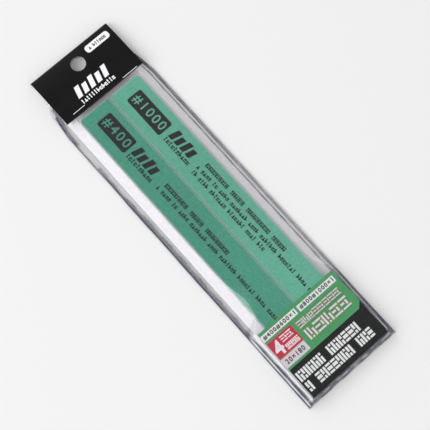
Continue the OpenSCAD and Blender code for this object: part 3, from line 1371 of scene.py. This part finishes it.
@dataclass(frozen=True)
class PaintedFilmBand:
    """A band of painted shade, or of painted highlight, on the film that runs along one edge of the bag, in
    millimetres; the dark ones stand for refraction, dark reflections and shadow, the light ones for glints.

    start and end are stations along that edge, from the bag's lower left corner. inset is how far
    in from the edge its middle lies, at each end, and width how wide it is there.
    """

    side: Side
    tone: Tone
    start: float
    end: float
    inset: tuple[float, float]
    width: tuple[float, float]
    strength: float
    wobble: float = 0.12

    def cover(self, station: np.ndarray, inset: np.ndarray, seed: float) -> np.ndarray:
        """How much of the painted band each point has.

        Args:
            station: Where each point is along the edge.
            inset: How far in from the edge it is.
            seed: Which wobble of all the possible ones.

        Returns:
            The cover, from 0 to the crease's strength.
        """
        t = np.clip((station - self.start) / (self.end - self.start), 0.0, 1.0)
        wave = np.sin(station * 0.31 + seed) + 0.6 * np.sin(station * 0.83 + 2.1 * seed)
        middle = self.inset[0] + (self.inset[1] - self.inset[0]) * t + self.wobble * wave
        width = self.width[0] + (self.width[1] - self.width[0]) * t
        width = width * (1 + 0.25 * np.sin(station * 0.47 + 3.3 * seed))
        across = np.clip((width / 2 + 0.12 - np.abs(inset - middle)) / 0.24, 0.0, 1.0)
        ends = np.clip((station - self.start) / 1.5, 0.0, 1.0) * np.clip((self.end - station) / 1.5, 0.0, 1.0)
        return self.strength * across * ends


@dataclass
class FilmBag:
    """The clear bag: a front film drawn over the contents, a flat back film and two welded sides."""

    film_t: float = 0.08 * MM
    ridge_room: float = 0.6 * MM
    tent_run: float = 15.0 * MM
    step_run: float = 8.4 * MM
    bulge_y: float = -50.0 * MM
    bulge_l: float = 11.0 * MM
    bulge_in: float = 3.0 * MM
    bulge_up: float = 0.95 * MM
    shoulder_y: float = 75.0 * MM
    shoulder_in: float = 3.4 * MM
    label_h: float = 42.0 * MM
    header_slope: float = math.tan(math.radians(3.5))
    columns: int = 110
    stations: int = 300
    # Bands of painted shade (dark refraction, dark reflections and shadow at the film's edges and over the
    # card's edge) and of painted highlight (glints), listed along each edge.
    painted_bands: tuple[PaintedFilmBand, ...] = (
        PaintedFilmBand(Side.LEFT, Tone.DARK, 46, 132, (0.95, 0.95), (1.9, 2.1), 0.62),
        PaintedFilmBand(Side.LEFT, Tone.DARK, 48, 130, (1.95, 1.95), (0.35, 0.4), 0.72, 0.05),
        PaintedFilmBand(Side.LEFT, Tone.DARK, 128, 162, (0.85, 0.7), (1.9, 0.9), 0.58),
        PaintedFilmBand(Side.LEFT, Tone.DARK, 158, 166, (1.3, 1.1), (1.6, 1.2), 0.5),
        PaintedFilmBand(Side.LEFT, Tone.DARK, 181, 207, (0.8, 1.4), (1.2, 2.4), 0.62),
        PaintedFilmBand(Side.LEFT, Tone.DARK, 2.5, 46, (1.7, 1.3), (1.2, 0.35), 0.85, 0.03),
        PaintedFilmBand(Side.LEFT, Tone.DARK, 0, 48, (0.1, 0.1), (0.4, 0.3), 0.45, 0.02),
        PaintedFilmBand(Side.LEFT, Tone.LIGHT, 0, 46, (0.7, 0.6), (0.5, 0.5), 0.6, 0.02),
        PaintedFilmBand(Side.LEFT, Tone.LIGHT, 1, 47, (3.1, 2.9), (1.0, 1.4), 0.5, 0.03),
        PaintedFilmBand(Side.RIGHT, Tone.DARK, 44, 197, (2.9, 2.9), (0.7, 0.6), 0.5, 0.06),
        PaintedFilmBand(Side.RIGHT, Tone.LIGHT, 60, 192, (1.95, 1.95), (0.8, 0.7), 0.4, 0.08),
        PaintedFilmBand(Side.RIGHT, Tone.DARK, 118, 200, (0.8, 0.7), (0.25, 0.9), 0.5, 0.08),
        PaintedFilmBand(Side.RIGHT, Tone.DARK, 0, 110, (0.3, 0.4), (0.35, 0.2), 0.25, 0.04),
        PaintedFilmBand(Side.RIGHT, Tone.DARK, 0, 46, (2.0, 2.5), (2.3, 1.1), 0.78, 0.03),
        PaintedFilmBand(Side.RIGHT, Tone.LIGHT, 3, 50, (2.6, 1.8), (0.3, 0.4), 0.6, 0.03),
        PaintedFilmBand(Side.BOTTOM, Tone.DARK, 0, 58, (1.1, 1.0), (2.2, 2.0), 0.78, 0.05),
        PaintedFilmBand(Side.BOTTOM, Tone.LIGHT, 4, 40, (1.7, 1.2), (0.25, 0.3), 0.4, 0.12),
        PaintedFilmBand(Side.BOTTOM, Tone.LIGHT, 30, 56, (0.7, 1.4), (0.3, 0.25), 0.35, 0.1),
    )

    def __post_init__(self) -> None:
        """Reads the places of the bag and its contents from the frame."""
        self.low, self.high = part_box("bag_front_film")
        self.weld_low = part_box("bag_left_weld")[0]
        self.weld_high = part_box("bag_right_weld")[1]
        self.card_low, self.card_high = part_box("insert_card")
        self.stick_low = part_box("coarse_front_abrasive")[0]
        self.stick_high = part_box("fine_front_abrasive")[1]
        self.header_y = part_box("header_card")[0].y
        self.rim_z = self.low.z + 0.1 * MM

    def half_width(self, y: np.ndarray) -> np.ndarray:
        """Half the bag's width at a station: its shoulders slant in towards the header."""
        over = np.clip((y - self.shoulder_y) / (self.high.y - self.shoulder_y), 0.0, 1.0)
        return self.high.x - self.shoulder_in * over**1.3

    def height(self, x: np.ndarray, y: np.ndarray) -> np.ndarray:
        """The front film's height: flat over the contents, drawn down to its edges.

        Args:
            x: The places across.
            y: The places along.

        Returns:
            The heights.
        """
        label_top = self.card_low.y + self.label_h
        t = np.clip((label_top + self.tent_run - y) / self.tent_run, 0.0, 1.0)
        share = t * t * (3 - 2 * t)
        stick_top = self.stick_high.z + 0.2 * MM
        label_z = self.card_high.z + 0.2 * MM
        top = stick_top + (label_z - stick_top) * share
        top = top - np.clip(y - self.header_y + 3 * MM, 0.0, None) * self.header_slope
        step = np.clip((label_top + self.step_run - y) / self.step_run, 0.0, 1.0)
        bulge = np.exp(-(((y - self.bulge_y) / self.bulge_l) ** 2))
        left = self.stick_low.x + (self.card_low.x - self.stick_low.x) * step * step * (3 - 2 * step)
        left = left - self.ridge_room + self.bulge_in * bulge
        right = self.stick_high.x + (self.card_high.x - self.stick_high.x) * share + self.ridge_room
        half = self.half_width(y)
        left = np.maximum(left, -half * 0.96)
        right = np.minimum(right, half * 0.96)
        u_left = np.clip((x + half) / (left + half), 0.0, 1.0)
        u_right = np.clip((half - x) / (half - right), 0.0, 1.0)
        room = self.card_low.y - self.ridge_room - self.low.y
        u_end = np.clip((y - self.low.y) / room, 0.0, 1.0)
        rise = np.minimum(np.minimum(u_left, u_right), u_end)
        slope_zone = 4 * rise * (1 - rise)
        crumple = np.array(
            [noise.noise(Vector((a * 90, b * 45, 0.0))) + 0.5 * noise.noise(Vector((a * 260, b * 120, 3.0)))
             for a, b in zip(x.ravel(), y.ravel())]
        ).reshape(x.shape)
        near = np.clip(1 - (x - left) / (6 * MM), 0.0, 1.0)
        top = top + self.bulge_up * bulge * near * near
        return self.rim_z + (top - self.rim_z) * rise + 0.16 * MM * crumple * slope_zone

    def build(self) -> None:
        """Builds the front film, the welds, and dresses the back film and the tapes."""
        film = ClearFilm("bag_film")
        self._front(film)
        for node, side in (("bag_left_weld", -1), ("bag_right_weld", 1)):
            self._weld(node, side)
        back = frame["nodes"]["bag_back_film"]
        back.data.materials.clear()
        back.data.materials.append(film.material())
        tape = RolledStrip("header_tape", (0.78, 0.76, 0.68), 0.4, 0.15)
        for node in ("header_front_tape", "header_back_tape"):
            frame["nodes"][node].data.materials.clear()
            frame["nodes"][node].data.materials.append(tape.material())

    def _front(self, film: Finish) -> None:
        """Builds the front film with its bands of painted shade and painted highlight."""
        v = np.linspace(0.0, 1.0, self.stations)
        y = self.low.y + (self.high.y - self.low.y) * v
        s = np.linspace(-1.0, 1.0, self.columns)
        s = np.sign(s) * (1 - (1 - np.abs(s)) ** 1.35)
        grid_y, grid_s = np.meshgrid(y, s, indexing="ij")
        grid_x = grid_s * self.half_width(grid_y)
        grid_z = self.height(grid_x, grid_y)
        points = np.stack([grid_x, grid_y, grid_z], axis=-1).reshape(-1, 3)
        rows, cols = grid_x.shape
        faces = [
            (r * cols + c, r * cols + c + 1, (r + 1) * cols + c + 1, (r + 1) * cols + c)
            for r in range(rows - 1)
            for c in range(cols - 1)
        ]
        mesh = bpy.data.meshes.new("front_film")
        mesh.from_pydata(points.tolist(), [], faces)
        self._paint_bands(mesh, grid_x.ravel(), grid_y.ravel())
        piece = link_mesh("front_film", mesh, film, smooth=True)
        wall = piece.modifiers.new("wall", "SOLIDIFY")
        wall.thickness = self.film_t
        wall.offset = -1.0
        bake_modifiers(piece)
        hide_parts("bag_front_film")
        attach(piece, "bag")
        log.info("built front_film: %d faces", len(piece.data.polygons))

    def _paint_bands(self, mesh: bpy.types.Mesh, x: np.ndarray, y: np.ndarray) -> None:
        """Paints the bands of shade and highlight onto the film's points.

        Args:
            mesh: The film's mesh.
            x: Each point's place across.
            y: Each point's place along.
        """
        totals = {tone: np.zeros(len(x)) for tone in Tone}
        half = self.half_width(y)
        along = (y - self.low.y) / MM
        for seed, painted_band in enumerate(self.painted_bands):
            if painted_band.side is Side.BOTTOM:
                station, inset = (x - self.low.x) / MM, along
            else:
                station = along
                inset = ((x + half) if painted_band.side is Side.LEFT else (half - x)) / MM
            cover = painted_band.cover(station, inset, 1.7 * seed)
            totals[painted_band.tone] = np.maximum(totals[painted_band.tone], cover)
        # Painted shade is thinned where a painted highlight lies over it.
        layer = 1 - np.sqrt(1 - np.minimum(totals[Tone.DARK] * (1 - totals[Tone.LIGHT]), 0.99))
        totals[Tone.DARK] = layer
        for tone, values in totals.items():
            mark = mesh.attributes.new(tone.value, "FLOAT", "POINT")
            mark.data.foreach_set("value", values.astype(np.float32))

    def _weld(self, node: str, side: int) -> None:
        """Builds one welded side as a wavy melted bead, coloured with painted shade.

        Args:
            node: The CAD node that it stands for.
            side: -1 for the left side, 1 for the right.
        """
        low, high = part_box(node)
        shape = bmesh.new()
        rings = []
        steps, sides = 220, 10
        for i in range(steps + 1):
            y = low.y + (high.y - low.y) * i / steps
            swell = 1 + 0.18 * noise.noise(Vector((y * 160, side * 5.0, 0.0)))
            pulled = float(self.half_width(np.array(y))) - self.high.x
            middle = Vector(((low.x + high.x) / 2 + side * pulled, y, (low.z + high.z) / 2))
            ring = []
            for k in range(sides):
                angle = 2 * math.pi * k / sides
                reach_x = (high.x - low.x) / 2 * min(1.0, swell)
                reach_z = (high.z - low.z) / 2 * min(1.0, swell)
                reach = Vector((reach_x * math.cos(angle), 0, reach_z * math.sin(angle)))
                ring.append(shape.verts.new(middle + reach))
            rings.append(ring)
        for a, b in zip(rings, rings[1:]):
            for k in range(sides):
                shape.faces.new((a[k], a[(k + 1) % sides], b[(k + 1) % sides], b[k]))
        shape.faces.new(rings[0])
        shape.faces.new(rings[-1])
        bmesh.ops.recalc_face_normals(shape, faces=shape.faces)
        mesh = bpy.data.meshes.new(node)
        shape.to_mesh(mesh)
        shape.free()
        piece = link_mesh(f"{'left' if side < 0 else 'right'}_bead", mesh, MeltedBead("melted_bead_painted_shade"), True)
        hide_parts(node)
        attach(piece, "bag")
        log.info("built %s", piece.name)


@dataclass
class Studio:
    """The plain floor, the soft lights and the camera."""

    azimuth: float = -41.355
    elevation: float = 76.187
    distance: float = 699.86 * MM
    target: Vector = field(default_factory=lambda: Vector((1.155 * MM, -5.665 * MM, 0.5 * MM)))
    lens: float = 113.17
    sky: float = 0.92
    zenith: float = 0.40

    def build(self) -> None:
        """Builds the studio."""
        scene = bpy.context.scene
        scene.view_settings.view_transform = "Standard"
        self._floor()
        self._world()
        self._softbox("left_softbox", Vector((-0.70, 0.17, 0.69)), 3.0, 2.3, 2.4, 2.5)
        self._softbox("back_softbox", Vector((-0.25, 0.80, 0.55)), 3.0, 2.1, 1.05, 2.3)
        data = bpy.data.cameras.new("camera")
        data.lens = self.lens
        data.sensor_width = 36.0
        data.clip_start, data.clip_end = 0.01, 50.0
        camera = bpy.data.objects.new("camera", data)
        scene.collection.objects.link(camera)
        around, up = math.radians(self.azimuth), math.radians(self.elevation)
        back = Vector((math.sin(around) * math.cos(up), -math.cos(around) * math.cos(up), math.sin(up)))
        camera.location = self.target + back * self.distance
        camera.rotation_mode = "QUATERNION"
        camera.rotation_quaternion = (-back).to_track_quat("-Z", "Y")
        scene.camera = camera

    def _floor(self) -> None:
        """Lays the floor just under the pack."""
        half, level = 3.0, CAD_LOW.z - 0.02 * MM
        mesh = bpy.data.meshes.new("floor")
        corners = [(-half, -half, level), (half, -half, level), (half, half, level), (-half, half, level)]
        mesh.from_pydata(corners, [], [(0, 1, 2, 3)])
        floor = link_mesh("floor", mesh, StudioFloor("studio_floor", (0.90, 0.90, 0.90)))

    def _world(self) -> None:
        """Lights the studio from all round, a little less from straight above."""
        world = bpy.data.worlds.new("studio")
        bpy.context.scene.world = world
        world.use_nodes = True
        nodes, links = world.node_tree.nodes, world.node_tree.links
        nodes.clear()
        coords = nodes.new("ShaderNodeTexCoord")
        split = nodes.new("ShaderNodeSeparateXYZ")
        ramp = nodes.new("ShaderNodeMapRange")
        ramp.inputs["From Min"].default_value = 0.75
        ramp.inputs["From Max"].default_value = 0.95
        ramp.inputs["To Min"].default_value = self.sky
        ramp.inputs["To Max"].default_value = self.zenith
        background = nodes.new("ShaderNodeBackground")
        output = nodes.new("ShaderNodeOutputWorld")
        links.new(coords.outputs["Generated"], split.inputs[0])
        links.new(split.outputs[2], ramp.inputs[0])
        links.new(ramp.outputs[0], background.inputs["Strength"])
        links.new(background.outputs[0], output.inputs["Surface"])

    @staticmethod
    def _softbox(name: str, direction: Vector, away: float, width: float, height: float, glow: float) -> None:
        """Adds a softbox that faces the pack.

        Args:
            name: Its name.
            direction: Which way it is from the pack.
            away: How far.
            width: Its width.
            height: Its height.
            glow: Its brightness.
        """
        light = bpy.data.lights.new(name, "AREA")
        light.shape = "RECTANGLE"
        light.size, light.size_y = width, height
        light.energy = glow * math.pi * width * height
        box = bpy.data.objects.new(name, light)
        bpy.context.scene.collection.objects.link(box)
        box.location = direction.normalized() * away
        box.rotation_mode = "QUATERNION"
        box.rotation_quaternion = (-direction).to_track_quat("-Z", "Y")


def sticks() -> list[SandingStick]:
    """The two sticks, with what is printed on each."""
    coarse = SandingStick(
        Grit.COARSE, (0.072, 0.345, 0.245), "#400", (6.0, 7.0, 15.5, 28.8), (6.0, 30.6),
        (("tall", 10.3, 53.6, 53.0, 2.5, 2.45), ("open", 6.5, 53.9, 92.0, 2.5, 1.75)),
        2600.0, 0.05 * MM,
    )
    fine = SandingStick(
        Grit.FINE, (0.135, 0.455, 0.335), "#1000", (5.9, 7.4, 15.4, 33.4), (6.4, 36.2),
        (("tall", 13.1, 59.0, 66.0, 2.5, 2.45), ("open", 9.1, 59.2, 92.0, 2.5, 1.75),
         ("open", 5.3, 59.4, 56.0, 2.5, 1.75)),
        4200.0, 0.03 * MM,
    )
    return [coarse, fine]


def main() -> None:
    """Builds the studio and then the pack, from the sticks outwards."""
    logging.basicConfig(level=logging.INFO, format="%(name)s: %(message)s")
    Studio().build()
    for stick in sticks():
        stick.build()
    InsertCard().build()
    HeaderCard().build()
    FilmBag().build()


if __name__ == "__main__":
    main()
